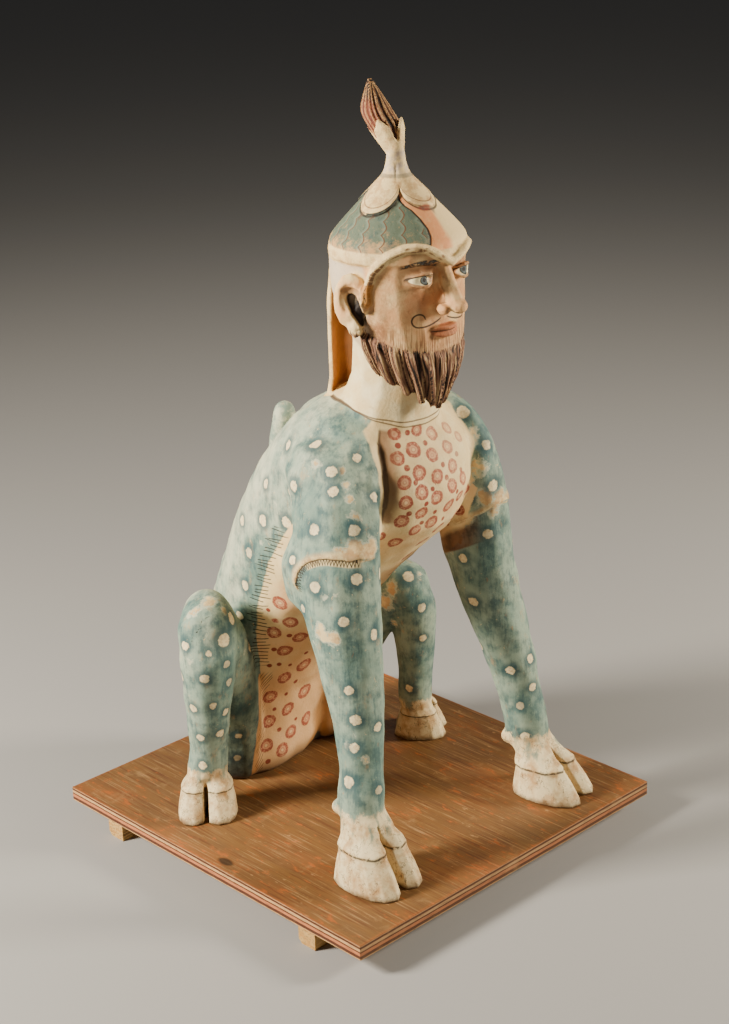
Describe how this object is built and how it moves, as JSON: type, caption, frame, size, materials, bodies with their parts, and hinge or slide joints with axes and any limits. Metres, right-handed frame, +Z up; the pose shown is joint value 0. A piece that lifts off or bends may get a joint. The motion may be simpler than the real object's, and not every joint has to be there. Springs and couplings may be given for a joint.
{
  "type": "tomb guardian beast",
  "caption": "Painted clay tomb guardian: a seated hoofed beast with a helmeted, bearded human head, on a plywood board with two battens.",
  "frame": {"origin": "bottom centre of the whole object: centre of the board in X and Y, underside of the battens in Z", "axes": "+Z up; the beast faces -Y; its own right side is at -X; the battens run along X"},
  "size_m": [0.487, 0.514, 0.8986],
  "materials": {
    "painted_clay": "matt mineral paint over a white ground on unfired clay, worn",
    "plywood": "oiled plywood with bare laminated edges",
    "batten_wood": "raw sawn softwood"
  },
  "bodies": {
    "root": {"clay_beast": "painted_clay", "plywood_board": "plywood", "front_batten": "batten_wood", "rear_batten": "batten_wood"}
  },
  "joints": []
}
